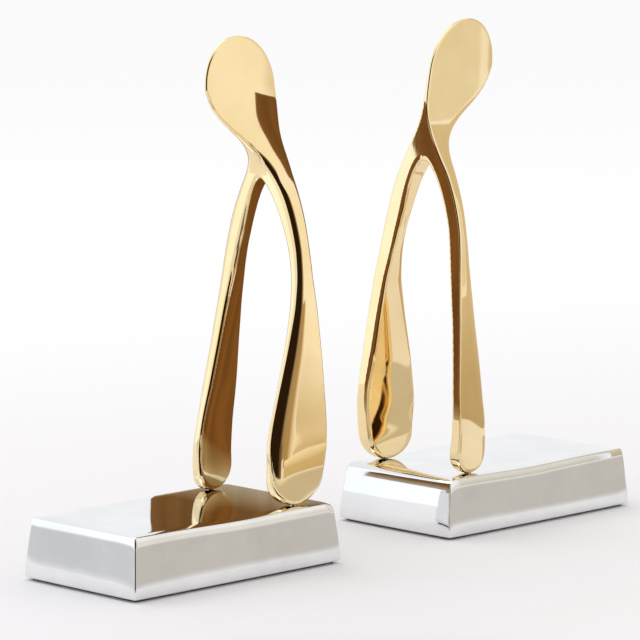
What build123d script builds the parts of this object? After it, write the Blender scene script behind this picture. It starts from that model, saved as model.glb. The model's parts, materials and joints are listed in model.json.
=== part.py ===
from build123d import *
import math
import os

# Pair of wishbone book ends. Millimetres, +Z up. X runs along the row of books, -Y is the front.
# The origin is on the shelf, midway between the two book ends and midway between front and back.

# --- driving dimensions -------------------------------------------------------------------------

book_gap = 83.0              # shelf length between the two bases, where the books stand

base_length = 152.0          # along the row of books, at the underside
base_width = 89.0            # front to back, at the underside
base_height = 32.5
base_draft = 5.3             # lean of all four sides, degrees
base_corner_radius = 2.5     # upright corners
base_top_radius = 1.4        # rounding round the top face
base_bottom_radius = 0.8     # rounding round the underside

felt_thickness = 1.5
felt_inset = 4.0             # felt edge in from the underside's edge

wishbone_height = 251.0      # from the base's top to the top of the head
wishbone_lean = 2.5          # the head stands this many degrees nearer the front than the feet
arm_setback = 26.5           # middle of the feet in from the base's book end
foot_spacing = 65.0          # front foot's middle to back foot's middle

land_width = 15.0            # flat under each foot, along X
land_depth = 7.6             # flat under each foot, along Y
heel_height = 6.0            # height where the foot is thickest
heel_width = 26.0
heel_thickness = 9.8
paddle_height = 36.0         # height where the paddle is widest
paddle_width = 31.5
paddle_thickness = 5.0
paddle_twist = 17.0          # degrees that the paddle's face turns towards the base's outer end
waist_height = 84.0          # half way up the taper from paddle to rod
waist_width = 22.0
waist_spacing = 59.5
rod_height = 140.0           # height of the slenderest part of the arm
rod_width = 9.4
rod_thickness = 8.2
rod_spacing = 45.5           # middle to middle of the arms at rod height
rod_offset = 6.5             # rod nearer the books than the foot
crotch_height = 174.0        # underside of the join between the arms
shoulder_height = 190.0      # where the front arm has become the neck of the head
shoulder_width = 21.5
shoulder_thickness = 8.0
back_arm_top = 187.0         # end of the back arm, buried in the neck
arm_sections = 26            # slices that each arm is lofted through

head_width = 51.0
head_thickness = 3.6
head_setback = 43.0          # middle of the head in from the base's book end, at its widest
head_tilt = 4.5              # the crown's middle stands this much further from the books
crown_height = 28.0          # rounded top of the head, over its widest part
crown_sections = 9
crown_end_angle = 81.0       # the crown stops as a small flat at this angle of its round

screw_diameter = 4.0
screw_length = 25.0
screw_head_diameter = 7.0
screw_head_height = 4.0
hex_socket = 3.0
hex_socket_depth = 2.0
screw_hole_clearance = 0.5   # through hole over the screw's diameter
counterbore_clearance = 1.6  # counterbore over the screw head's diameter
screw_engagement = 8.5       # thread length inside the foot
thread_relief = 0.7          # tapped hole past the screw's tip
flat_washer_diameter = 8.0
flat_washer_clearance = 0.3  # bore over the screw's diameter
flat_washer_thickness = 0.8
lock_washer_diameter = 7.0
lock_washer_clearance = 0.1  # bore over the screw's diameter
lock_washer_thickness = 1.0
lock_washer_slot = 0.8

# --- derived dimensions -------------------------------------------------------------------------

base_underside = felt_thickness
base_top = felt_thickness + base_height
base_inset = base_height * math.tan(math.radians(base_draft))
lean_slope = math.tan(math.radians(wishbone_lean))
half_gap = book_gap / 2
base_middle = -(half_gap + base_length / 2)
foot_x = -(half_gap + arm_setback)

through_diameter = screw_diameter + screw_hole_clearance
counterbore_diameter = screw_head_diameter + counterbore_clearance
flat_washer_bore = screw_diameter + flat_washer_clearance
lock_washer_bore = screw_diameter + lock_washer_clearance
washer_stack = flat_washer_thickness + lock_washer_thickness
head_seat = base_top + screw_engagement - screw_length       # underside of the screw head
counterbore_top = head_seat + washer_stack
foot_hole_depth = screw_engagement + thread_relief


# --- left base ----------------------------------------------------------------------------------

def screw_places():
    """Middle of each foot on the base's top: front, then back."""
    return [(foot_x, -foot_spacing / 2), (foot_x, foot_spacing / 2)]


def vertical_cylinder(place, diameter, bottom, top):
    x, y = place
    disc = Plane((x, y, bottom)) * Circle(diameter / 2)
    return extrude(disc, amount=top - bottom, dir=(0, 0, 1))


def make_base():
    underside = Plane((base_middle, 0, base_underside)) * RectangleRounded(
        base_length, base_width, base_corner_radius)
    top = Plane((base_middle, 0, base_top)) * RectangleRounded(
        base_length - 2 * base_inset, base_width - 2 * base_inset, base_corner_radius)
    block = loft([underside, top])
    block = fillet(block.faces().sort_by(Axis.Z)[-1].edges(), base_top_radius)
    block = fillet(block.faces().sort_by(Axis.Z)[0].edges(), base_bottom_radius)
    for place in screw_places():
        block -= vertical_cylinder(place, through_diameter, base_underside, base_top)
        block -= vertical_cylinder(place, counterbore_diameter, base_underside, counterbore_top)
    return block


def make_felt_pad():
    length = base_length - 2 * felt_inset
    width = base_width - 2 * felt_inset
    sheet = Plane((base_middle, 0, 0)) * RectangleRounded(length, width, base_corner_radius)
    return extrude(sheet, amount=felt_thickness)


# --- left wishbone ------------------------------------------------------------------------------

def arm_knots():
    """Height, setback, spacing of the two arms, width, thickness and twist, from the foot to the crotch."""
    foot = foot_spacing
    knee_height = (waist_height + rod_height) / 2
    arch_height = (rod_height + crotch_height) / 2
    rod_setback = arm_setback - rod_offset
    return [
        (0.0, arm_setback + 0.5, foot, land_width, land_depth, 0.3 * paddle_twist),
        (heel_height, arm_setback + 0.8, foot, heel_width, heel_thickness, 0.5 * paddle_twist),
        (0.6 * paddle_height, arm_setback, foot + 1.0, 0.98 * paddle_width, 0.7 * heel_thickness,
         0.85 * paddle_twist),
        (paddle_height, arm_setback - 0.2 * rod_offset, foot, paddle_width, paddle_thickness, paddle_twist),
        (waist_height, arm_setback - 0.65 * rod_offset, waist_spacing, waist_width, paddle_thickness,
         0.8 * paddle_twist),
        (knee_height, arm_setback - 0.9 * rod_offset, (waist_spacing + rod_spacing) / 2 + 1.0,
         0.92 * (waist_width + rod_width) / 2, (paddle_thickness + rod_thickness) / 2, 0.5 * paddle_twist),
        (rod_height, rod_setback, rod_spacing, rod_width, rod_thickness, 0.0),
        (arch_height, rod_setback + 0.4, 0.73 * rod_spacing, rod_width, 1.25 * rod_thickness, 0.0),
        (crotch_height - 5.0, rod_setback + 1.0, 0.46 * rod_spacing, 1.1 * rod_width, 1.4 * rod_thickness, 0.0),
    ]


def front_arm_knots():
    """The front arm runs on through the neck into the head, as far as the head's widest part."""
    rod_setback = arm_setback - rod_offset
    widest = wishbone_height - crown_height
    head_rise = widest - shoulder_height
    return arm_knots() + [
        (crotch_height + 4.0, rod_setback + 1.8, 0.16 * rod_spacing, 1.45 * rod_width, 1.3 * rod_thickness, 0.0),
        (shoulder_height, rod_setback + 6.0, 0.05 * rod_spacing, shoulder_width, shoulder_thickness, 0.0),
        (shoulder_height + 0.35 * head_rise, head_setback - 10.0, 0.0, 0.70 * head_width,
         1.4 * head_thickness, 0.0),
        (shoulder_height + 0.70 * head_rise, head_setback - 3.0, 0.0, 0.92 * head_width, head_thickness, 0.0),
        (widest, head_setback, 0.0, head_width, head_thickness, 0.0),
    ]


def back_arm_knots():
    """The back arm ends inside the neck."""
    rod_setback = arm_setback - rod_offset
    return arm_knots() + [
        (crotch_height + 4.0, rod_setback + 1.8, 0.20 * rod_spacing, 1.25 * rod_width, rod_thickness, 0.0),
        (back_arm_top, rod_setback + 3.5, -0.02 * rod_spacing, 1.1 * rod_width, 0.4 * rod_thickness, 0.0),
    ]


def knot_slopes(heights, values):
    """Slope at each knot, never steep enough for the curve to swing past its knots."""
    gaps = [b - a for a, b in zip(heights, heights[1:])]
    rises = [(b - a) / gap for a, b, gap in zip(values, values[1:], gaps)]
    slopes = [rises[0]]
    for left, right, gap_left, gap_right in zip(rises, rises[1:], gaps, gaps[1:]):
        if left * right <= 0:
            slopes.append(0.0)
        else:
            weight_left, weight_right = 2 * gap_right + gap_left, gap_right + 2 * gap_left
            slopes.append((weight_left + weight_right) / (weight_left / left + weight_right / right))
    return slopes + [rises[-1]]


def smooth_value(heights, values, height):
    """Value at a height on the smooth curve through the knots."""
    slopes = knot_slopes(heights, values)
    i = max(k for k in range(len(heights) - 1) if heights[k] <= height)
    gap = heights[i + 1] - heights[i]
    t = (height - heights[i]) / gap
    return (values[i] * (1 + 2 * t) * (1 - t) ** 2 + slopes[i] * gap * t * (1 - t) ** 2
            + values[i + 1] * t * t * (3 - 2 * t) + slopes[i + 1] * gap * t * t * (t - 1))


def oval(side, height, setback, spacing, width, thickness, twist):
    """Level slice of an arm or of the head. side is -1 for the front arm and +1 for the back arm."""
    x = -(half_gap + setback)
    y = side * spacing / 2 - height * lean_slope
    plane = Plane((x, y, base_top + height)) * Rot(0, 0, side * twist)
    return plane * Ellipse(width / 2, thickness / 2)


def arm_slices(side, knots):
    """Slices stand closer together at the foot, where the shape turns fastest."""
    heights, *columns = zip(*knots)
    for k in range(arm_sections):
        height = heights[-1] * (k / (arm_sections - 1)) ** 1.35
        yield oval(side, height, *(smooth_value(heights, column, height) for column in columns))


def crown_slices():
    """The head's top is half an oval in side view."""
    for k in range(1, crown_sections + 1):
        angle = math.radians(crown_end_angle * k / crown_sections)
        rise = crown_height * math.sin(angle) / math.sin(math.radians(crown_end_angle))
        thickness = head_thickness * (0.45 + 0.55 * math.cos(angle))
        yield oval(-1, wishbone_height - crown_height + rise, head_setback + head_tilt * math.sin(angle),
                   0.0, head_width * math.cos(angle), thickness, 0.0)


def make_wishbone():
    front = loft(list(arm_slices(-1, front_arm_knots())) + list(crown_slices()))
    back = loft(list(arm_slices(1, back_arm_knots())))
    body = front + back
    for place in screw_places():
        body -= vertical_cylinder(place, screw_diameter, base_top, base_top + foot_hole_depth)
    return body


# --- fasteners ----------------------------------------------------------------------------------

def make_screw(place):
    head = vertical_cylinder(place, screw_head_diameter, head_seat - screw_head_height, head_seat)
    head = chamfer(head.edges().sort_by(Axis.Z)[0], 0.4)
    shank = vertical_cylinder(place, screw_diameter, head_seat, head_seat + screw_length)
    x, y = place
    hexagon = Plane((x, y, head_seat - screw_head_height)) * RegularPolygon(
        hex_socket / 2, 6, major_radius=False)
    return head + shank - extrude(hexagon, amount=hex_socket_depth, dir=(0, 0, 1))


def make_ring(place, outer, bore, bottom, thickness):
    ring = vertical_cylinder(place, outer, bottom, bottom + thickness)
    return ring - vertical_cylinder(place, bore, bottom, bottom + thickness)


def make_flat_washer(place):
    return make_ring(place, flat_washer_diameter, flat_washer_bore,
                     counterbore_top - flat_washer_thickness, flat_washer_thickness)


def make_lock_washer(place):
    ring = make_ring(place, lock_washer_diameter, lock_washer_bore, head_seat, lock_washer_thickness)
    x, y = place
    cutter = Pos(x + lock_washer_diameter / 4, y, head_seat + lock_washer_thickness / 2) * Box(
        lock_washer_diameter / 2 + 1, lock_washer_slot, 2 * lock_washer_thickness)
    return ring - cutter


def at_each_foot(make):
    return Compound(children=[solid for place in screw_places() for solid in make(place).solids()])


# --- the pair -----------------------------------------------------------------------------------

left_pieces = {
    "base": make_base(),
    "felt_pad": make_felt_pad(),
    "wishbone": make_wishbone(),
    "screws": at_each_foot(make_screw),
    "flat_washers": at_each_foot(make_flat_washer),
    "lock_washers": at_each_foot(make_lock_washer),
}

os.makedirs("parts", exist_ok=True)
for name, piece in left_pieces.items():
    export_step(piece, f"parts/left_{name}.step")
    export_step(mirror(piece, about=Plane.YZ), f"parts/right_{name}.step")
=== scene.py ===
"""Pair of book ends: polished brass wishbones on polished, nickel-plated aluminium blocks."""
import json
import logging
import math
from collections.abc import Callable, Iterable
from dataclasses import dataclass
from enum import Enum

import bpy
import numpy as np
from mathutils import Euler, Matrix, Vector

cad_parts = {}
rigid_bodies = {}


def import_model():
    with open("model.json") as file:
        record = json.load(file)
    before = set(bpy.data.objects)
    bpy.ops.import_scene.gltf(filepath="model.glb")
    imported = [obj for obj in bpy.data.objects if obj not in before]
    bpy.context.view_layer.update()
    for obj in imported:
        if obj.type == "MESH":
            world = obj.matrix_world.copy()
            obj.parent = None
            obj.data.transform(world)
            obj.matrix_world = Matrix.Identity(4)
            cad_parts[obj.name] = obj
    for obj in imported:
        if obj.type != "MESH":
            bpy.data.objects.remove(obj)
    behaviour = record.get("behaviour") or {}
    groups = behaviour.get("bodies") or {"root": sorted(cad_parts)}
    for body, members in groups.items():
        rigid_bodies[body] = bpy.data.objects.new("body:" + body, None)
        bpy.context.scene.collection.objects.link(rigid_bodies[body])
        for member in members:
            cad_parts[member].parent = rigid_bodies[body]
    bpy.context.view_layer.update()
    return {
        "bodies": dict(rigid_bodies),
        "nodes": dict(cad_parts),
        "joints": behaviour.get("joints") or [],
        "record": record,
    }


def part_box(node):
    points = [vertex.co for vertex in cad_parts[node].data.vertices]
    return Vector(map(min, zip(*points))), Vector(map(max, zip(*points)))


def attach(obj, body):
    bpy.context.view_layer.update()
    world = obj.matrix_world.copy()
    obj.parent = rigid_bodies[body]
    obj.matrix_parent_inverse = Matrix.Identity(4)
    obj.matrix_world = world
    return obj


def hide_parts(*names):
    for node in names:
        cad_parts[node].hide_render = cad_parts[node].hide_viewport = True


MM = 0.001
LOG = logging.getLogger("book_ends")

Field = Callable[[np.ndarray, np.ndarray, np.ndarray], np.ndarray]


# --- small tools ---------------------------------------------------------------------------------

def linear(colour: str) -> tuple[float, float, float, float]:
    """Turns an sRGB hex colour into linear red, green, blue and alpha.

    Args:
        colour: six hex digits after a hash, such as "#E9C98F".

    Returns:
        The linear colour with alpha 1.
    """
    channels = np.array([int(colour[i:i + 2], 16) for i in (1, 3, 5)]) / 255
    curved = np.where(channels <= 0.04045, channels / 12.92, ((channels + 0.055) / 1.055) ** 2.4)
    return (*curved.tolist(), 1.0)


def add_node(tree: bpy.types.NodeTree, kind: str, settings: dict | None = None,
             inputs: dict | None = None) -> bpy.types.Node:
    """Adds one node with its settings, socket values and incoming links.

    Args:
        tree: the node tree that gets the node.
        kind: Blender's name of the node type.
        settings: attribute names and values.
        inputs: socket names or numbers, each with a value or the output socket that it is linked to.

    Returns:
        The new node.
    """
    node = tree.nodes.new(kind)
    for name, value in (settings or {}).items():
        setattr(node, name, value)
    for name, value in (inputs or {}).items():
        if isinstance(value, bpy.types.NodeSocket):
            tree.links.new(value, node.inputs[name])
        else:
            node.inputs[name].default_value = value
    return node


def set_ramp(node: bpy.types.Node, stops: Iterable[tuple[float, str]]) -> None:
    """Gives a colour ramp its stops.

    Args:
        node: the ramp's node.
        stops: places from 0 to 1, each with an sRGB hex colour.
    """
    ramp = node.color_ramp
    places = list(stops)
    while len(ramp.elements) < len(places):
        ramp.elements.new(1.0)
    for element, (place, colour) in zip(ramp.elements, places):
        element.position = place
        element.color = linear(colour)


@dataclass(frozen=True)
class Canvas:
    """A new node material, with the parts of it that every finish works on."""

    material: bpy.types.Material
    tree: bpy.types.NodeTree
    shader: bpy.types.Node
    place: bpy.types.NodeSocket

    @classmethod
    def start(cls, name: str) -> "Canvas":
        """Makes the material.

        Args:
            name: name of the material.

        Returns:
            The material, its tree, its main shader and a socket that gives the object's own coordinates.
        """
        material = bpy.data.materials.new(name)
        material.use_nodes = True
        tree = material.node_tree
        place = add_node(tree, "ShaderNodeTexCoord").outputs["Object"]
        return cls(material, tree, tree.nodes["Principled BSDF"], place)

    def noise(self, size: float, **inputs: float) -> bpy.types.NodeSocket:
        """Adds cloudy noise in the object's own coordinates.

        Args:
            size: size of its patches in millimetres.
            inputs: values of the noise's other sockets.

        Returns:
            The socket that gives the noise, from 0 to 1.
        """
        node = add_node(self.tree, "ShaderNodeTexNoise", inputs={
            "Vector": self.place, "Scale": 1 / (size * MM), **inputs})
        return node.outputs["Fac"]

    def colour_by(self, factor: bpy.types.NodeSocket, stops: Iterable[tuple[float, str]]) -> None:
        """Colours the shader through a ramp.

        Args:
            factor: socket that drives the ramp from 0 to 1.
            stops: the ramp's places and hex colours.
        """
        tone = add_node(self.tree, "ShaderNodeValToRGB", inputs={"Fac": factor})
        set_ramp(tone, stops)
        self.tree.links.new(tone.outputs["Color"], self.shader.inputs["Base Color"])

    def roughen_by(self, factor: bpy.types.NodeSocket, **limits: float) -> None:
        """Drives the shader's roughness.

        Args:
            factor: socket that gives the dullness.
            limits: the ranges it is mapped between, named as the Map Range node's sockets.
        """
        rough = add_node(self.tree, "ShaderNodeMapRange", inputs={
            "Value": factor, **{name.replace("_", " "): value for name, value in limits.items()}})
        self.tree.links.new(rough.outputs["Result"], self.shader.inputs["Roughness"])

    def bump(self, height: bpy.types.NodeSocket, depth: float, strength: float = 1.0,
             below: bpy.types.NodeSocket | None = None) -> bpy.types.NodeSocket:
        """Adds a bump and hands it to the shader.

        Args:
            height: socket that gives the bump's height, from 0 to 1.
            depth: height of the bump in millimetres.
            strength: share of the bump that shows.
            below: direction from a coarser bump that this one lies on.

        Returns:
            The bumped direction, for a finer bump on top.
        """
        node = add_node(self.tree, "ShaderNodeBump", inputs={
            "Strength": strength, "Distance": depth * MM, "Height": height})
        if below is not None:
            self.tree.links.new(below, node.inputs["Normal"])
        self.tree.links.new(node.outputs["Normal"], self.shader.inputs["Normal"])
        return node.outputs["Normal"]


def new_mesh(name: str, points: np.ndarray, faces: np.ndarray) -> bpy.types.Object:
    """Makes a smooth-shaded mesh object at the origin.

    Args:
        name: name of the object.
        points: one row of x, y and z in metres for each vertex.
        faces: one row of vertex numbers for each four-sided face.

    Returns:
        The object, linked to the scene.
    """
    mesh = bpy.data.meshes.new(name)
    mesh.vertices.add(len(points))
    mesh.vertices.foreach_set("co", points.astype(np.float32).ravel())
    sides = faces.shape[1]
    mesh.loops.add(faces.size)
    mesh.loops.foreach_set("vertex_index", faces.astype(np.int32).ravel())
    mesh.polygons.add(len(faces))
    mesh.polygons.foreach_set("loop_start", np.arange(0, faces.size, sides, dtype=np.int32))
    mesh.update(calc_edges=True)
    mesh.validate()
    mesh.polygons.foreach_set("use_smooth", np.ones(len(mesh.polygons), dtype=bool))
    obj = bpy.data.objects.new(name, mesh)
    bpy.context.scene.collection.objects.link(obj)
    return obj


def round_join(first: np.ndarray, second: np.ndarray, radius: np.ndarray | float) -> np.ndarray:
    """Intersects two solids given as signed distances and rounds the edge between them.

    The distance is that to the corner of the two faces moved in by the radius, less the radius.

    Args:
        first: distance to the first surface, negative inside.
        second: distance to the second surface, negative inside.
        radius: radius of the rounded edge.

    Returns:
        Distance to the joined surface.
    """
    a, b = first + radius, second + radius
    outside = np.hypot(np.maximum(a, 0), np.maximum(b, 0))
    return outside + np.minimum(np.maximum(a, b), 0) - radius


class Side(Enum):
    """Which book end of the pair."""

    LEFT = -1
    RIGHT = 1

    @property
    def prefix(self) -> str:
        """First word of the names of this side's nodes."""
        return self.name.lower()

    @property
    def body(self) -> str:
        """Name of the CAD body that this side's pieces ride on."""
        return f"{self.prefix}_bookend"


@dataclass(frozen=True)
class Curve:
    """A value that changes smoothly with height, through few chosen knots."""

    knots: tuple[tuple[float, float], ...]
    blur: float = 5.0
    step: float = 0.25

    def table(self) -> tuple[np.ndarray, np.ndarray]:
        """Straight runs between the knots, rounded by a bell-shaped moving average of width blur.

        Returns:
            Heights and values, closely spaced and running on past the first and last knot.
        """
        height, value = np.array(self.knots).T
        reach = 6 * self.blur
        grid = np.arange(height[0] - reach, height[-1] + reach, self.step)
        runs = np.interp(grid, height, value)
        first = (value[1] - value[0]) / (height[1] - height[0])
        last = (value[-1] - value[-2]) / (height[-1] - height[-2])
        runs += np.minimum(grid - height[0], 0) * first + np.maximum(grid - height[-1], 0) * last
        offsets = np.arange(-4 * self.blur, 4 * self.blur + self.step, self.step)
        bell = np.exp(-0.5 * (offsets / self.blur) ** 2)
        return grid, np.convolve(runs, bell / bell.sum(), mode="same")

    def at(self, height: np.ndarray) -> np.ndarray:
        """Value at each height."""
        return np.interp(height, *self.table())

    def slope(self, height: np.ndarray) -> np.ndarray:
        """Change of the value for each unit of height."""
        grid, value = self.table()
        return np.interp(height, grid, np.gradient(value, self.step))


@dataclass(frozen=True)
class LevelSurface:
    """The closed surface where a signed distance is nought, as a mesh of four-sided faces."""

    field: Field
    low: tuple[float, float, float]
    high: tuple[float, float, float]
    step: float
    probe: float = 0.02
    rounds: int = 4
    settle_moves: int = 3
    least_slope: float = 0.05

    def mesh(self) -> tuple[np.ndarray, np.ndarray]:
        """Wraps the surface: one vertex in each cell that it passes through, one face round each edge.

        Each vertex starts at the mean of the places where the surface cuts its cell's edges, and is then
        moved onto the surface and spread out evenly over it.

        Returns:
            Points and faces.
        """
        axes = [np.arange(a, b + self.step, self.step) for a, b in zip(self.low, self.high)]
        value = self.field(axes[0][:, None, None], axes[1][None, :, None], axes[2][None, None, :])
        shape = np.array(value.shape)
        cells = tuple(shape - 1)
        total = np.zeros(cells + (3,))
        count = np.zeros(cells, dtype=np.int32)
        crossings = []
        for axis in range(3):
            one, two = self.along(value, axis)
            cut = (one < 0) != (two < 0)
            share = np.where(cut, one / np.where(cut, one - two, 1), 0)
            crossings.append((cut, one < 0))
            for corner in range(4):
                window = self.window(cells, axis, corner)
                hit = cut[window]
                count += hit
                place = np.zeros(3)
                place[[k for k in range(3) if k != axis]] = [corner & 1, corner >> 1]
                total[..., axis] += share[window]
                total += hit[..., None] * place
        used = count > 0
        number = np.full(cells, -1)
        number[used] = np.arange(used.sum())
        start = np.stack([a[i] for a, i in zip(axes, np.nonzero(used))], axis=1)
        points = start + self.step * total[used] / count[used][:, None]
        faces = np.concatenate([self.faces_round(number, *crossings[axis], axis) for axis in range(3)])
        for _ in range(self.rounds):
            points = self.settle(self.spread(points, faces))
        return self.settle(points), faces

    @staticmethod
    def along(value: np.ndarray, axis: int) -> tuple[np.ndarray, np.ndarray]:
        """Values at the two ends of every lattice edge along one axis.

        Args:
            value: distance at each lattice point.
            axis: number of the axis.

        Returns:
            Distances at the edges' starts and ends.
        """
        size = value.shape[axis]
        return np.take(value, range(size - 1), axis), np.take(value, range(1, size), axis)

    @staticmethod
    def window(cells: tuple[int, ...], axis: int, corner: int) -> tuple[slice, ...]:
        """Slices that pick, for every cell, one of its four edges along an axis.

        Args:
            cells: number of cells along each axis.
            axis: number of the axis.
            corner: which of the four edges, from 0 to 3.

        Returns:
            One slice for each axis.
        """
        shift = [0, 0, 0]
        first, second = [k for k in range(3) if k != axis]
        shift[first], shift[second] = corner & 1, corner >> 1
        return tuple(slice(s, s + n) for s, n in zip(shift, cells))

    @staticmethod
    def faces_round(number: np.ndarray, cut: np.ndarray, inside: np.ndarray, axis: int) -> np.ndarray:
        """Faces round the lattice edges along one axis, turned to look outwards.

        Args:
            number: vertex number of each cell, or -1.
            cut: which edges the surface cuts.
            inside: which edges start inside it.
            axis: number of the axis.

        Returns:
            Four vertex numbers a face.
        """
        first, second = [k for k in range(3) if k != axis]
        place = np.array(np.nonzero(cut))
        keep = (place[first] > 0) & (place[second] > 0)
        keep &= (place[first] < number.shape[first]) & (place[second] < number.shape[second])
        place = place[:, keep]
        flip = inside[tuple(place)] == (axis != 1)
        ring = []
        for a, b in ((0, 0), (-1, 0), (-1, -1), (0, -1)):
            cell = place.copy()
            cell[first] += a
            cell[second] += b
            ring.append(number[tuple(cell)])
        faces = np.stack(ring, axis=1)
        faces[~flip] = faces[~flip][:, ::-1]
        return faces

    def settle(self, points: np.ndarray) -> np.ndarray:
        """Moves points onto the surface, a few times by the distance over its slope along its slope."""
        for _ in range(self.settle_moves):
            slope = self.slope(points)
            distance = self.field(*points.T)
            move = distance / np.maximum((slope ** 2).sum(axis=1), self.least_slope)
            points = points - np.clip(move, -self.step, self.step)[:, None] * slope
        return points

    def slope(self, points: np.ndarray) -> np.ndarray:
        """Change of the distance along each axis, which points outwards."""
        ahead = [self.field(*(points + self.probe * e).T) for e in np.eye(3)]
        behind = [self.field(*(points - self.probe * e).T) for e in np.eye(3)]
        return (np.stack(ahead, axis=1) - np.stack(behind, axis=1)) / (2 * self.probe)

    @staticmethod
    def spread(points: np.ndarray, faces: np.ndarray) -> np.ndarray:
        """Moves each point half way to the mean of the points that it shares an edge with."""
        total = np.zeros_like(points)
        count = np.zeros(len(points))
        for one, two in ((0, 1), (1, 2), (2, 3), (3, 0)):
            for a, b in ((faces[:, one], faces[:, two]), (faces[:, two], faces[:, one])):
                for k in range(3):
                    total[:, k] += np.bincount(a, points[b, k], len(points))
                count += np.bincount(a, minlength=len(points))
        return (points + total / count[:, None]) / 2


# --- finishes ------------------------------------------------------------------------------------

@dataclass(frozen=True)
class PolishedBrass:
    """Cast brass, buffed to a mirror and clear lacquered. Lengths are in millimetres."""

    colour: str = "#F9E4B7"
    deep_colour: str = "#F3DAA6"
    roughness: float = 0.045
    cloud_size: float = 38.0
    smear_size: float = 22.0
    hair_gap: float = 0.3
    hair_length: float = 14.0
    hair_depth: float = 0.0012
    wave_length: float = 25.0
    wave_height: float = 0.05

    def material(self) -> bpy.types.Material:
        """Pale gold mirror. Buffing leaves slow waves, hairlines along the arms and faint cloudy smears.

        Returns:
            The material.
        """
        canvas = Canvas.start("polished_brass")
        canvas.shader.inputs["Metallic"].default_value = 1.0
        clouds = canvas.noise(self.cloud_size, Detail=3.0, Roughness=0.55)
        canvas.colour_by(clouds, [(0.3, self.deep_colour), (0.7, self.colour)])
        # Hairlines from the buffing wheel run up and down the arms.
        fine_scale, long_scale = 1 / (self.hair_gap * MM), 1 / (self.hair_length * MM)
        stretched = add_node(canvas.tree, "ShaderNodeMapping", inputs={
            "Vector": canvas.place, "Scale": (fine_scale, fine_scale, long_scale)})
        hairs = add_node(canvas.tree, "ShaderNodeTexNoise", inputs={
            "Vector": stretched.outputs["Vector"], "Scale": 1.0, "Detail": 2.0}).outputs["Fac"]
        smear = canvas.noise(self.smear_size, Detail=4.0, Roughness=0.6)
        dull = add_node(canvas.tree, "ShaderNodeMath", {"operation": "MULTIPLY"}, {0: hairs, 1: smear})
        canvas.roughen_by(dull.outputs["Value"], From_Min=0.12, From_Max=0.45,
                          To_Min=0.6 * self.roughness, To_Max=1.9 * self.roughness)
        # The buffed casting isn't truly flat: its waves are a few hundredths of a millimetre high.
        waves = canvas.noise(self.wave_length, Detail=1.0)
        canvas.bump(hairs, self.hair_depth, below=canvas.bump(waves, self.wave_height))
        return canvas.material


@dataclass(frozen=True)
class PolishedNickel:
    """Sand-cast aluminium, ground, nickel plated and polished by hand. Lengths are in millimetres."""

    colour: str = "#EDEEEF"
    dull_colour: str = "#E5E6E7"
    roughness: float = 0.05
    cloud_size: float = 30.0
    wave_length: float = 18.0
    wave_height: float = 0.05
    pit_size: float = 0.9
    pit_depth: float = 0.002

    def material(self) -> bpy.types.Material:
        """Near-white soft mirror with slow hand-ground waves, faint milky clouds and tiny casting pits.

        Returns:
            The material.
        """
        canvas = Canvas.start("polished_nickel")
        canvas.shader.inputs["Metallic"].default_value = 1.0
        clouds = canvas.noise(self.cloud_size, Detail=5.0, Roughness=0.6)
        canvas.colour_by(clouds, [(0.35, self.dull_colour), (0.65, self.colour)])
        canvas.roughen_by(clouds, From_Min=0.3, From_Max=0.7,
                          To_Min=1.5 * self.roughness, To_Max=0.6 * self.roughness)
        waves = canvas.noise(self.wave_length, Detail=1.5)
        pits = canvas.noise(self.pit_size, Detail=2.0)
        canvas.bump(pits, self.pit_depth, below=canvas.bump(waves, self.wave_height))
        return canvas.material


@dataclass(frozen=True)
class PressedFelt:
    """Pressed wool felt, dyed charcoal and glued on. Lengths are in millimetres."""

    colour: str = "#2B2B2E"
    fibre_colour: str = "#4A4A4E"
    fibre_length: float = 0.5
    nap_height: float = 0.15

    def material(self) -> bpy.types.Material:
        """Matt charcoal with a mat of pale and dark short fibres and a soft edge sheen.

        Returns:
            The material.
        """
        canvas = Canvas.start("pressed_felt")
        canvas.shader.inputs["Roughness"].default_value = 0.95
        canvas.shader.inputs["Sheen Weight"].default_value = 0.4
        canvas.shader.inputs["Sheen Roughness"].default_value = 0.5
        fibres = canvas.noise(self.fibre_length, Detail=6.0, Roughness=0.7, Distortion=1.2)
        canvas.colour_by(fibres, [(0.35, self.colour), (0.75, self.fibre_colour)])
        canvas.bump(fibres, self.nap_height, strength=0.8)
        return canvas.material


@dataclass(frozen=True)
class ZincPlatedSteel:
    """Cold-headed steel, zinc plated and blue passivated. Lengths are in millimetres."""

    colour: str = "#B9BDC2"
    blue_colour: str = "#A9B1BC"
    patch_size: float = 4.0
    grain_size: float = 0.2

    def material(self) -> bpy.types.Material:
        """Grey metal with a faint blue cast in patches and a satin, slightly frosted gloss.

        Returns:
            The material.
        """
        canvas = Canvas.start("zinc_plated_steel")
        canvas.shader.inputs["Metallic"].default_value = 1.0
        patches = canvas.noise(self.patch_size, Detail=3.0)
        canvas.colour_by(patches, [(0.4, self.blue_colour), (0.6, self.colour)])
        grain = canvas.noise(self.grain_size, Detail=2.0)
        canvas.roughen_by(grain, To_Min=0.25, To_Max=0.45)
        return canvas.material


# --- the pieces ----------------------------------------------------------------------------------

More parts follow.
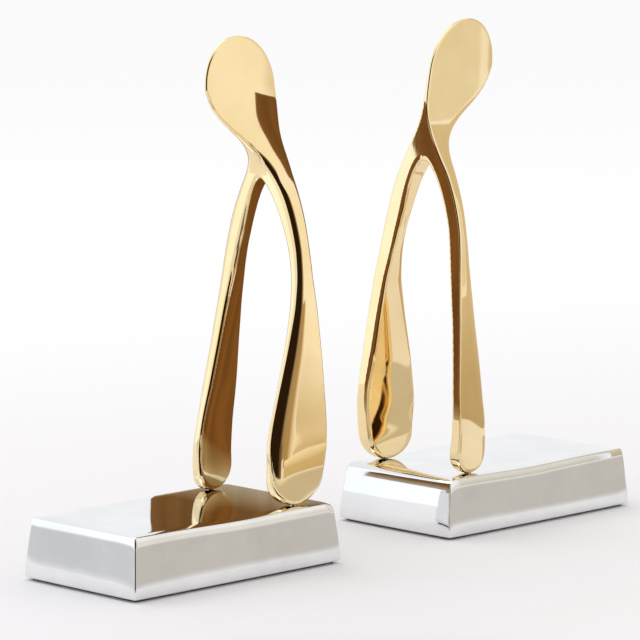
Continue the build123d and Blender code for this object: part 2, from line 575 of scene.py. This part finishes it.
@dataclass(frozen=True)
class WishboneShape:
    """The casting: a thin egg-shaped head, a neck and two arms that end in paddle-shaped feet.

    Its sizes are in millimetres: setback away from the books from the base's end, depth from the middle
    plane between the arms towards the back, and height over the base's top.

    Every curve runs with height. book_edge and outer_edge bound the side view, outer_face and inner_face
    bound an arm's depth, and back_fullness thickens the back arm. twist turns both faces, bevel_drop,
    bevel_reach and inner_bevel thin the edge away from the books, and hollow dishes the inner face.
    """

    top: float
    book_edge: Curve = Curve((
        (0, 12.6), (14, 11.6), (32, 10.2), (45, 9.8), (60, 10.6), (84, 12.0), (105, 13.4),
        (124, 15.2), (140, 16.0), (165, 15.6), (182, 14.4), (205, 15.2), (216, 16.7), (226, 18.6)), 3.5)
    outer_edge: Curve = Curve((
        (0, 39.4), (9, 41.2), (22, 42.3), (32, 42.4), (45, 40.2), (60, 37.0), (84, 31.4),
        (105, 27.2), (120, 25.4), (136, 25.0), (164, 26.2), (177, 28.0), (185, 31.5), (195, 41.5),
        (205, 55.5), (214, 64.5), (226, 69.8)), 3.5)
    outer_face: Curve = Curve((
        (0, 36.2), (9, 36.7), (21, 37.1), (42, 36.0), (63, 35.4), (84, 34.6), (105, 33.4),
        (124, 31.4), (136, 29.6), (148, 26.5), (158, 22.9), (168, 18.2), (176, 13.0), (184, 8.4),
        (193, 3.6), (202, 1.9), (251, 1.5)), 4.0)
    inner_face: Curve = Curve((
        (0, 28.2), (9, 28.0), (21, 29.4), (42, 29.4), (63, 28.6), (84, 27.4), (105, 25.4),
        (124, 23.0), (136, 20.9), (148, 17.4), (158, 13.4), (168, 8.3), (175, 4.2), (190, -9.0),
        (251, -30.0)), 3.0)
    back_fullness: Curve = Curve((
        (0, 0.4), (15, 1.4), (42, 2.2), (60, 3.4), (84, 3.0), (105, 2.0), (124, 2.6), (142, 3.6),
        (154, 2.4), (168, 0.0), (251, 0.0)), 4.0)
    twist: Curve = Curve((
        (0, 0.12), (10, 0.20), (34, 0.28), (60, 0.24), (84, 0.19), (105, 0.09), (124, -0.02),
        (140, 0.02), (158, 0.10), (172, 0.14), (186, 0.13), (197, 0.03), (206, 0.0), (251, 0.0)), 4.0)
    bevel_drop: Curve = Curve((
        (0, 1.5), (16, 2.8), (40, 3.4), (150, 3.6), (170, 3.6), (187, 3.0), (197, 0.9), (205, 0.0),
        (251, 0.0)), 4.0)
    bevel_reach: Curve = Curve((
        (0, 9.0), (16, 12.0), (40, 13.0), (84, 11.5), (105, 9.5), (124, 8.0), (150, 7.5),
        (170, 7.5), (186, 9.0), (251, 9.0)), 5.0)
    inner_bevel: Curve = Curve((
        (0, 0.3), (10, 0.9), (24, 1.9), (60, 1.9), (110, 1.7), (140, 1.1), (158, 0.3), (168, 0.0),
        (251, 0.0)), 4.0)
    hollow: Curve = Curve((
        (0, 0.0), (12, 0.2), (26, 0.8), (45, 1.3), (84, 1.0), (105, 0.5), (124, 0.0), (251, 0.0)), 5.0)
    edge_radius: Curve = Curve((
        (0, 2.4), (14, 1.8), (30, 1.05), (84, 1.05), (124, 1.4), (150, 1.7), (174, 2.0), (190, 1.5),
        (204, 1.2), (251, 1.2)), 5.0)
    heel_height: float = 15.5
    crown_start: float = 223.0
    crown_lean: float = 0.13
    crown_fade: float = 30.0
    crotch_rounding: float = 5.0
    head_crown: float = 0.7
    fuller_rounding: float = 0.35
    land_radius: float = 0.8
    lattice_step: float = 0.62
    lattice_setback: tuple[float, float] = (6.0, 74.0)
    lattice_depth: float = 42.0
    lattice_margin: float = 2.0

    def edge_distance(self, setback: np.ndarray, height: np.ndarray) -> np.ndarray:
        """Distance to the outline in side view: half an oval at foot and crown, the two edge curves between.

        Args:
            setback: distance from the base's end, away from the books.
            height: height over the base's top.

        Returns:
            Signed distance in side view, negative inside.
        """
        book, outer = self.book_edge.at(height), self.outer_edge.at(height)
        inner_side = (book - setback) / np.hypot(1, self.book_edge.slope(height))
        outer_side = (setback - outer) / np.hypot(1, self.outer_edge.slope(height))
        between = np.maximum(inner_side, outer_side)
        foot = self.oval_distance(setback, height, self.heel_height, self.heel_height)
        crown = self.oval_distance(setback, height, self.crown_start, self.top - self.crown_start,
                                   self.crown_lean)
        return np.where(height > self.crown_start, crown, np.where(height < self.heel_height, foot, between))

    def oval_distance(self, setback: np.ndarray, height: np.ndarray, centre: float, rise: float,
                      lean: float = 0.0) -> np.ndarray:
        """Distance to an oval as wide as the piece is at a given height.

        Args:
            setback: distance from the base's end, away from the books.
            height: height over the base's top.
            centre: height of the oval's middle.
            rise: half the oval's height.
            lean: how far the oval's middle moves away from the books for each unit of height.

        Returns:
            Signed distance, negative inside.
        """
        book, outer = (float(curve.at(np.array(centre))) for curve in (self.book_edge, self.outer_edge))
        half = (outer - book) / 2
        across = (setback - (book + outer) / 2 - lean * (height - centre)) / half
        up = (height - centre) / rise
        return (np.hypot(across, up) - 1) * half

    def distance(self, setback: np.ndarray, depth: np.ndarray, height: np.ndarray) -> np.ndarray:
        """Signed distance to the wishbone, folded about its middle plane so that both arms are one formula.

        The side view's outline and the outer and inner faces are joined with rounded edges. Both faces fall
        off with the third power of the distance towards the edge that is away from the books, the inner one
        hollows with the second power towards the books, and both turn with the paddle's twist. The back arm
        is a little fuller than the front one, and the head is slightly domed.

        Args:
            setback: distance from the base's end, away from the books.
            depth: distance from the middle plane.
            height: height over the base's top.

        Returns:
            Signed distance, negative inside.
        """
        fullness = np.where(depth > 0, self.back_fullness.at(height), 0)
        level = np.minimum(height, self.crown_start)
        book, outer = self.book_edge.at(level), self.outer_edge.at(level)
        middle, half = (book + outer) / 2, (outer - book) / 2
        turned = np.abs(depth) + (setback - middle) * self.twist.at(height)
        reach = self.bevel_reach.at(height)
        past = np.maximum(setback - (outer - reach), 0) / reach
        above = np.clip((height - self.crown_start) / self.crown_fade + 1, 0, 1)
        crown = self.head_crown * above * ((setback - middle) / half) ** 2
        outer_face = self.outer_face.at(height) - self.bevel_drop.at(height) * past ** 3 - crown
        bookwards = np.maximum(middle - setback, 0) / half
        inner_face = (self.inner_face.at(height) + self.hollow.at(height) * bookwards ** 2 - fullness
                      + self.inner_bevel.at(height) * past ** 3)
        outwards = (turned - outer_face) / np.hypot(1, self.outer_face.slope(height))
        rounded = np.sqrt(turned ** 2 + self.crotch_rounding ** 2)
        inwards = (inner_face - rounded) / np.hypot(1, self.inner_face.slope(height))
        faces = np.maximum(outwards, inwards)
        edge = self.edge_distance(setback, height)
        body = round_join(edge, faces, self.edge_radius.at(height) + self.fuller_rounding * fullness)
        return round_join(body, -height, self.land_radius)

    def surface(self) -> tuple[np.ndarray, np.ndarray, np.ndarray]:
        """Points, outward directions and faces of the casting, standing straight on the base's top."""
        near, far = self.lattice_setback
        level = LevelSurface(self.distance, (near, -self.lattice_depth, -self.lattice_margin),
                             (far, self.lattice_depth, self.top + self.lattice_margin), self.lattice_step)
        points, faces = level.mesh()
        return points, level.slope(points), faces


@dataclass(frozen=True)
class Wishbone:
    """One casting set on its base, leaning a little to the front."""

    side: Side
    lean: float = math.tan(math.radians(2.5))

    def build(self, points: np.ndarray, outwards: np.ndarray, faces: np.ndarray) -> bpy.types.Object:
        """Places the casting, mirrored for its side, and keeps the surface's exact outward directions.

        Args:
            points: the casting's points in millimetres.
            outwards: direction of the surface at each point.
            faces: four vertex numbers a face.

        Returns:
            The wishbone.
        """
        base_low, base_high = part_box(f"{self.side.prefix}_base")
        setback, depth, height = points.T
        book_end = base_high.x if self.side is Side.LEFT else base_low.x
        placed = np.stack([book_end + self.side.value * setback * MM,
                           (depth - height * self.lean) * MM,
                           base_high.z + height * MM], axis=1)
        away, back, up = outwards.T
        turned = np.stack([self.side.value * away, back, up + self.lean * back], axis=1)
        turned /= np.linalg.norm(turned, axis=1, keepdims=True)
        if self.side is Side.LEFT:
            faces = faces[:, ::-1]
        obj = new_mesh(f"{self.side.prefix}_wishbone_casting", placed, faces)
        obj.data.normals_split_custom_set_from_vertices(turned.tolist())
        return obj

    def dress(self, obj: bpy.types.Object, material: bpy.types.Material) -> None:
        """Gives the wishbone its finish and its place among the bodies."""
        obj.data.materials.append(material)
        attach(obj, self.side.body)
        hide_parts(f"{self.side.prefix}_wishbone")


def crowded(count: int) -> np.ndarray:
    """Places from -1 to 1, close together near both ends."""
    even = np.linspace(-1, 1, count)
    return 0.35 * even + 0.65 * np.sin(even * math.pi / 2)


def weld(points: np.ndarray, faces: np.ndarray) -> tuple[np.ndarray, np.ndarray]:
    """Joins points that lie at the same place.

    Args:
        points: one row for each vertex.
        faces: vertex numbers of each face.

    Returns:
        The points that are left and the faces numbered by them.
    """
    keys = np.round(points, 7)
    _, first, group = np.unique(keys, axis=0, return_index=True, return_inverse=True)
    return points[first], group.ravel()[faces]


def cube_grid(cells: tuple[int, int, int]) -> tuple[np.ndarray, np.ndarray]:
    """Six grids on a cube from -1 to 1, joined at their shared edges.

    Args:
        cells: grid lines along each axis.

    Returns:
        Points and four-sided faces.
    """
    lines = [crowded(n) for n in cells]
    points, faces, start = [], [], 0
    for axis in range(3):
        first, second = [k for k in range(3) if k != axis]
        a, b = np.meshgrid(lines[first], lines[second], indexing="ij")
        rows, columns = a.shape
        index = np.arange(rows * columns).reshape(rows, columns)
        quads = np.stack([index[:-1, :-1], index[1:, :-1], index[1:, 1:], index[:-1, 1:]], axis=-1)
        quads = quads.reshape(-1, 4)
        for sign in (-1, 1):
            side = np.zeros((rows * columns, 3))
            side[:, first], side[:, second], side[:, axis] = a.ravel(), b.ravel(), sign
            points.append(side)
            outward = (sign > 0) == (axis != 1)
            faces.append(start + (quads if outward else quads[:, ::-1]))
            start += rows * columns
    return weld(np.concatenate(points), np.concatenate(faces))


def rounded_box(half: np.ndarray, radius: float,
                cells: tuple[int, int, int]) -> tuple[np.ndarray, np.ndarray]:
    """A box with rounded edges about its own middle, its grid lines crowded towards the edges.

    Each point is pushed out from the nearest point of a box that is smaller by the radius.

    Args:
        half: half the box's size.
        radius: radius of its edges.
        cells: grid lines along each axis.

    Returns:
        Points and four-sided faces.
    """
    unit, faces = cube_grid(cells)
    surface = unit * half
    core = half - radius
    nearest = np.clip(surface, -core, core)
    out = surface - nearest
    length = np.linalg.norm(out, axis=1, keepdims=True)
    return nearest + radius * out / np.maximum(length, 1e-9), faces


@dataclass(frozen=True)
class BaseBlock:
    """Polished block with sides that lean in, crisp edges and hand-ground, slightly wavy faces."""

    side: Side
    edge_radius: float = 0.75
    draft: float = math.tan(math.radians(5.3))
    pillow: float = 0.5
    shoulder: float = 0.5
    shoulder_width: float = 7.0
    book_end_drop: float = 2.2
    book_end_width: float = 9.0
    wave_height: float = 0.5
    sag_height: float = 0.9
    sag_place: float = 0.1
    sag_width: float = 0.45
    corner_power: int = 12
    cells: tuple[int, int, int] = (150, 90, 44)

    def build(self) -> bpy.types.Object:
        """A rounded box whose sides lean in with height, bulge a little and are ground in slow waves.

        Returns:
            The block.
        """
        low, high = (np.array(corner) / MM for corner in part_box(f"{self.side.prefix}_base"))
        centre, half = (low + high) / 2, (high - low) / 2
        points, faces = rounded_box(half, self.edge_radius, self.cells)
        points = self.ground(points, half)
        return new_mesh(f"{self.side.prefix}_base_block", (points + centre) * MM, faces)

    def ground(self, points: np.ndarray, half: np.ndarray) -> np.ndarray:
        """Leans the sides in, pillows them and grinds in the waves.

        Each side moves in by the draft, by a sixth power that grows towards top and bottom, and by slow
        sines. The top falls off with the square of the nearness to its rim and with the cube towards the
        books, and sags a little half way along the front.

        Args:
            points: points of the sharp-sided block about its own middle.
            half: half its size.

        Returns:
            The moved points, none outside the block's first size.
        """
        x, y, z = points.T
        share = (z + half[2]) / (2 * half[2])
        along = -self.side.value * x / half[0]
        inset = 2 * half[2] * self.draft * share
        bulge = self.pillow * (2 * share - 1) ** 6
        level_wave = np.sin(x / 27 + 1.3) * np.cos(y / 21)
        slanted_wave = np.sin(x / 41 + y / 33 + z / 15 + self.side.value)
        wave = self.wave_height * (0.5 + 0.3 * level_wave + 0.2 * slanted_wave)
        corner_x = self.pillow * (x / half[0]) ** self.corner_power
        corner_y = self.pillow * (y / half[1]) ** self.corner_power
        shrink_x = (half[0] - inset - bulge - wave - corner_y) / half[0]
        shrink_y = (half[1] - inset - bulge - wave - corner_x) / half[1]
        gap_x, gap_y = half[0] - np.abs(x), half[1] - np.abs(y)
        rim = np.clip(1 - np.minimum(gap_x, gap_y) / self.shoulder_width, 0, 1)
        book_end = np.clip(1 - half[0] * (1 - along) / self.book_end_width, 0, 1)
        hollow = np.exp(-((along - self.sag_place) / self.sag_width) ** 2)
        sag = self.sag_height * hollow * (1 - y / half[1]) / 2
        drop = self.shoulder * rim ** 2 + self.book_end_drop * book_end ** 3 + sag
        return np.stack([x * shrink_x, y * shrink_y, z - drop * np.clip(2 * share - 1, 0, 1)], axis=1)

    def dress(self, obj: bpy.types.Object, material: bpy.types.Material) -> None:
        """Gives the block its finish and its place among the bodies."""
        obj.data.materials.append(material)
        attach(obj, self.side.body)
        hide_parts(f"{self.side.prefix}_base")


@dataclass(frozen=True)
class FeltPad:
    """Thin felt sheet glued under the base, its cut edge a little fluffy."""

    side: Side
    edge_radius: float = 0.5
    fluff: float = 0.12
    seed: int = 7
    cells: tuple[int, int, int] = (160, 100, 8)

    def build(self) -> bpy.types.Object:
        """A rounded box of the felt's size, with its points moved in at random by the fluff.

        Returns:
            The pad.
        """
        low, high = (np.array(corner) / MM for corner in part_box(f"{self.side.prefix}_felt_pad"))
        centre, half = (low + high) / 2, (high - low) / 2
        points, faces = rounded_box(half, self.edge_radius, self.cells)
        scatter = np.random.default_rng(self.seed).random((len(points), 1))
        points[:, :2] *= 1 - self.fluff * scatter / half[1]
        return new_mesh(f"{self.side.prefix}_felt_sheet", (points + centre) * MM, faces)

    def dress(self, obj: bpy.types.Object, material: bpy.types.Material) -> None:
        """Gives the felt its finish and its place among the bodies."""
        obj.data.materials.append(material)
        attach(obj, self.side.body)
        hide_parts(f"{self.side.prefix}_felt_pad")


@dataclass(frozen=True)
class Fasteners:
    """Screws and washers, as they come from the CAD model."""

    side: Side
    nodes: tuple[str, ...] = ("screws", "flat_washers", "lock_washers")

    def dress(self, frame: dict, material: bpy.types.Material) -> None:
        """Gives each fastener node the zinc finish."""
        for node in self.nodes:
            mesh = frame["nodes"][f"{self.side.prefix}_{node}"].data
            mesh.materials.clear()
            mesh.materials.append(material)


# --- the studio ----------------------------------------------------------------------------------

@dataclass(frozen=True)
class Card:
    """A flat glowing reflector or flag that only mirror-like surfaces see: its colours are painted
    reflections.

    Its colour may fade to others towards its lower, upper and right border, and its glow may be streaked
    upright, a painted reflection of cloth in soft folds.
    """

    name: str
    centre: tuple[float, float, float]
    size: tuple[float, float]
    turn: float
    colour: str
    strength: float = 1.0
    lower_colour: str | None = None
    upper_colour: str | None = None
    fade: float = 0.4
    right_colour: str | None = None
    right_fade: float = 0.3
    streaks: float = 0.0
    fold_scale: tuple[float, float, float] = (70.0, 70.0, 9.0)

    def build(self) -> bpy.types.Object:
        """An upright rectangle, turned about the vertical, that neither lights nor shades anything.

        Returns:
            The card.
        """
        across, up = self.size[0] / 2, self.size[1] / 2
        outline = np.array([(-across, 0, -up), (across, 0, -up), (across, 0, up), (-across, 0, up)])
        c, s = math.cos(self.turn), math.sin(self.turn)
        turned = outline @ np.array([[c, s, 0], [-s, c, 0], [0, 0, 1]])
        obj = new_mesh(self.name, turned + np.array(self.centre), np.array([[0, 1, 2, 3]]))
        obj.data.materials.append(self.material((c, s, 0.0)))
        obj.visible_camera = obj.visible_diffuse = obj.visible_shadow = False
        return obj

    def material(self, direction: tuple[float, float, float]) -> bpy.types.Material:
        """Glow in the card's colours, which only mirrors show: a painted reflection.

        Args:
            direction: direction of the card's width, towards its right border.

        Returns:
            The material.
        """
        canvas = Canvas.start(self.name)
        tree, place = canvas.tree, canvas.place
        tree.nodes.remove(canvas.shader)
        across, up = self.size[0] / 2, self.size[1] / 2
        split = add_node(tree, "ShaderNodeSeparateXYZ", inputs={"Vector": place})
        share = add_node(tree, "ShaderNodeMapRange", inputs={
            "Value": split.outputs["Z"], "From Min": self.centre[2] - up, "From Max": self.centre[2] + up})
        tone = add_node(tree, "ShaderNodeValToRGB", inputs={"Fac": share.outputs["Result"]})
        set_ramp(tone, [(0.0, self.lower_colour or self.colour), (self.fade, self.colour),
                        (1 - self.fade, self.colour), (1.0, self.upper_colour or self.colour)])
        colour = tone.outputs["Color"]
        if self.right_colour:
            along = add_node(tree, "ShaderNodeVectorMath", {"operation": "DOT_PRODUCT"}, {
                0: place, 1: direction})
            end = float(np.dot(self.centre, direction)) + across
            right = add_node(tree, "ShaderNodeMapRange", inputs={
                "Value": along.outputs["Value"], "From Min": end - 2 * across * self.right_fade,
                "From Max": end})
            colour = add_node(tree, "ShaderNodeMixRGB", inputs={
                "Fac": right.outputs["Result"], "Color1": colour,
                "Color2": linear(self.right_colour)}).outputs["Color"]
        folds = add_node(tree, "ShaderNodeMapping", inputs={"Vector": place, "Scale": self.fold_scale})
        noise = add_node(tree, "ShaderNodeTexNoise", inputs={
            "Vector": folds.outputs["Vector"], "Scale": 1.0, "Detail": 2.0})
        level = add_node(tree, "ShaderNodeMapRange", inputs={
            "Value": noise.outputs["Fac"], "From Min": 0.3, "From Max": 0.7,
            "To Min": self.strength * (1 - self.streaks), "To Max": self.strength * (1 + self.streaks)})
        glow = add_node(tree, "ShaderNodeEmission", inputs={
            "Color": colour, "Strength": level.outputs["Result"]})
        tree.links.new(glow.outputs["Emission"], tree.nodes["Material Output"].inputs["Surface"])
        return canvas.material


@dataclass(frozen=True)
class Studio:
    """Pale floor painted whiter far away, white room, one overhead softbox and glowing cards that only the
    polished metal sees, as painted reflections.
    """

    # Painted light on the floor: greyer near the front corner, whiter far away.
    near_colour: str = "#E9E7E8"
    far_colour: str = "#FBFBFB"
    far_start: float = 0.5
    far_end: float = 2.0
    near_place: tuple[float, float, float] = (-0.35, -0.35, 0.0)
    floor_half: float = 30.0
    room_colour: str = "#FEFEFF"
    room_strength: float = 1.0
    lamp_place: tuple[float, float, float] = (-0.3, 0.7, 1.7)
    lamp_tilt: float = -24.0
    lamp_size: float = 1.2
    lamp_power: float = 6.0
    camera_place: tuple[float, float, float] = (-1.6273, -1.6253, 0.4577)
    camera_turn: tuple[float, float, float] = (81.73, 0.0, -44.76)
    focal_length: float = 238.4
    sensor_width: float = 36.0

    def build_floor(self) -> None:
        """One large flat square, just under the felt, painted whiter away from the front corner: painted
        light, as on a paper sweep lit from behind.
        """
        h = self.floor_half
        points = np.array([(-h, -h, 0.0), (h, -h, 0.0), (h, h, 0.0), (-h, h, 0.0)])
        floor = new_mesh("floor", points, np.array([[0, 1, 2, 3]]))
        canvas = Canvas.start("floor_paper")
        canvas.shader.inputs["Roughness"].default_value = 0.8
        away = add_node(canvas.tree, "ShaderNodeVectorMath", {"operation": "DISTANCE"}, {
            0: canvas.place, 1: self.near_place})
        far = add_node(canvas.tree, "ShaderNodeMapRange", {"interpolation_type": "SMOOTHSTEP"}, {
            "Value": away.outputs["Value"], "From Min": self.far_start, "From Max": self.far_end})
        # Painted light: the floor's colour runs from a painted shade near the front corner to near white far
        # away.
        canvas.colour_by(far.outputs["Result"], [(0.0, self.near_colour), (1.0, self.far_colour)])
        floor.data.materials.append(canvas.material)

    def build_room(self) -> None:
        """An even white room."""
        world = bpy.data.worlds.new("room")
        bpy.context.scene.world = world
        world.use_nodes = True
        background = world.node_tree.nodes["Background"]
        background.inputs["Color"].default_value = linear(self.room_colour)
        background.inputs["Strength"].default_value = self.room_strength

    def build_lights(self) -> None:
        """One wide softbox overhead and behind, so that the shadows fall softly to the front."""
        data = bpy.data.lights.new("overhead", "AREA")
        data.shape = "SQUARE"
        data.size = self.lamp_size
        data.energy = self.lamp_power
        lamp = bpy.data.objects.new("overhead", data)
        lamp.location = self.lamp_place
        lamp.rotation_euler = (math.radians(self.lamp_tilt), 0, 0)
        bpy.context.scene.collection.objects.link(lamp)

    def build_cards(self) -> None:
        """Dark flags at the camera's side paint the brass's deep dark strips as reflections, low grey cards
        paint the grey reflected bands on the blocks.

        Warm brown cards stand where the books' cover would stand and paint the books' reflection into the
        brass.
        """
        to_camera, along_row, across_row = math.radians(-45), 0.0, math.radians(90)
        dark, brown, tan = "#2A1D12", "#77522C", "#8C765A"
        # Every card glows and only mirrors see it: painted reflections, dark and light.
        for card in (
                Card("dark_flag", (-0.393, -0.388, 0.30), (0.56, 0.60), to_camera, dark,
                     right_colour=tan, right_fade=0.12),
                Card("low_dark_flag", (-0.160, -0.180, 0.030), (0.14, 0.060), to_camera, dark,
                     right_colour=tan, right_fade=0.3),
                Card("tan_flag", (-0.150, -0.62, 0.30), (0.14, 0.60), to_camera, "#A8947A"),
                Card("edge_flag", (-0.255, -0.106, 0.024), (0.07, 0.048), to_camera, "#57524C"),
                Card("low_grey_front", (0.07, -0.112, 0.0155), (0.50, 0.031), along_row, "#CFC9BF",
                     lower_colour="#EDEBE8", upper_colour="#FAF9F8", fade=0.13),
                Card("low_grey_end", (-0.261, 0.07, 0.0155), (0.22, 0.031), across_row, "#DADBDD",
                     lower_colour="#F0F0F0", upper_colour="#FFFFFF", fade=0.13),
                Card("foot_flag", (0.0, -0.20, 0.020), (0.16, 0.040), along_row, "#D6C49E",
                     lower_colour="#CDBB98", upper_colour="#FFF9EC", fade=0.4),
                Card("soft_flag", (-0.045, -0.36, 0.070), (0.11, 0.14), along_row, "#B49A70",
                     right_colour="#FFF9EE", right_fade=0.5),
                Card("white_front", (0.13, -0.37, 0.30), (0.46, 0.60), along_row, "#FFFCF6", 1.03,
                     lower_colour="#C9B48E", upper_colour="#FFFFFF", fade=0.14,
                     right_colour="#E8E4D8", right_fade=0.08),
                Card("cream_front", (0.45, -0.37, 0.30), (0.18, 0.60), along_row, "#E8E4D8", 1.03,
                     lower_colour="#C9B48E", fade=0.14),
                Card("white_end", (-0.40, 0.30, 0.30), (0.60, 0.60), math.radians(45), "#F3F7FF", 1.35),
                Card("tan_right", (0.46, -0.08, 0.30), (0.40, 0.60), across_row, "#DCCFB8",
                     lower_colour="#BFAB88", fade=0.16),
                # Painted reflection of the absent books: glowing brown cards where their cover would stand,
                # streaked like cloth.
                Card("book_foot", (-0.0403, 0.0325, 0.043), (0.155, 0.018), across_row, "#9A8362",
                     lower_colour="#B3A48C", upper_colour=brown, fade=0.5, streaks=0.15),
                Card("book_middle", (-0.0403, 0.0325, 0.069), (0.155, 0.034), across_row, brown,
                     streaks=0.3),
                Card("book_cover", (-0.0403, 0.024, 0.167), (0.138, 0.162), across_row, brown,
                     upper_colour="#7A5630", fade=0.3, streaks=0.3)):
            card.build()

    def build_camera(self) -> None:
        """Long lens, looking down a little on the pair from the front left corner."""
        data = bpy.data.cameras.new("camera")
        data.lens = self.focal_length
        data.sensor_width = self.sensor_width
        data.clip_start, data.clip_end = 0.1, 100.0
        camera = bpy.data.objects.new("camera", data)
        camera.location = self.camera_place
        camera.rotation_euler = Euler([math.radians(angle) for angle in self.camera_turn])
        bpy.context.scene.collection.objects.link(camera)
        bpy.context.scene.camera = camera

    def build(self) -> None:
        """Sets up everything that isn't the object."""
        self.build_camera()
        self.build_floor()
        self.build_room()
        self.build_lights()
        self.build_cards()
        bpy.context.scene.view_settings.view_transform = "Standard"


def main() -> None:
    """Builds the pair, dresses it, sets up the studio and logs each piece's face count."""
    logging.basicConfig(level=logging.INFO, format="%(message)s")
    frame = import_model()
    Studio().build()
    brass, nickel = PolishedBrass().material(), PolishedNickel().material()
    felt, zinc = PressedFelt().material(), ZincPlatedSteel().material()
    _, head_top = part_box("left_wishbone")
    _, base_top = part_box("left_base")
    casting = WishboneShape(top=(head_top.z - base_top.z) / MM).surface()
    for side in Side:
        for part, sizes, material in ((Wishbone(side), casting, brass), (BaseBlock(side), (), nickel),
                                      (FeltPad(side), (), felt)):
            obj = part.build(*sizes)
            part.dress(obj, material)
            LOG.info("%s: %d faces", obj.name, len(obj.data.polygons))
        Fasteners(side).dress(frame, zinc)
        LOG.info("%s fasteners dressed", side.prefix)


if __name__ == "__main__":
    main()
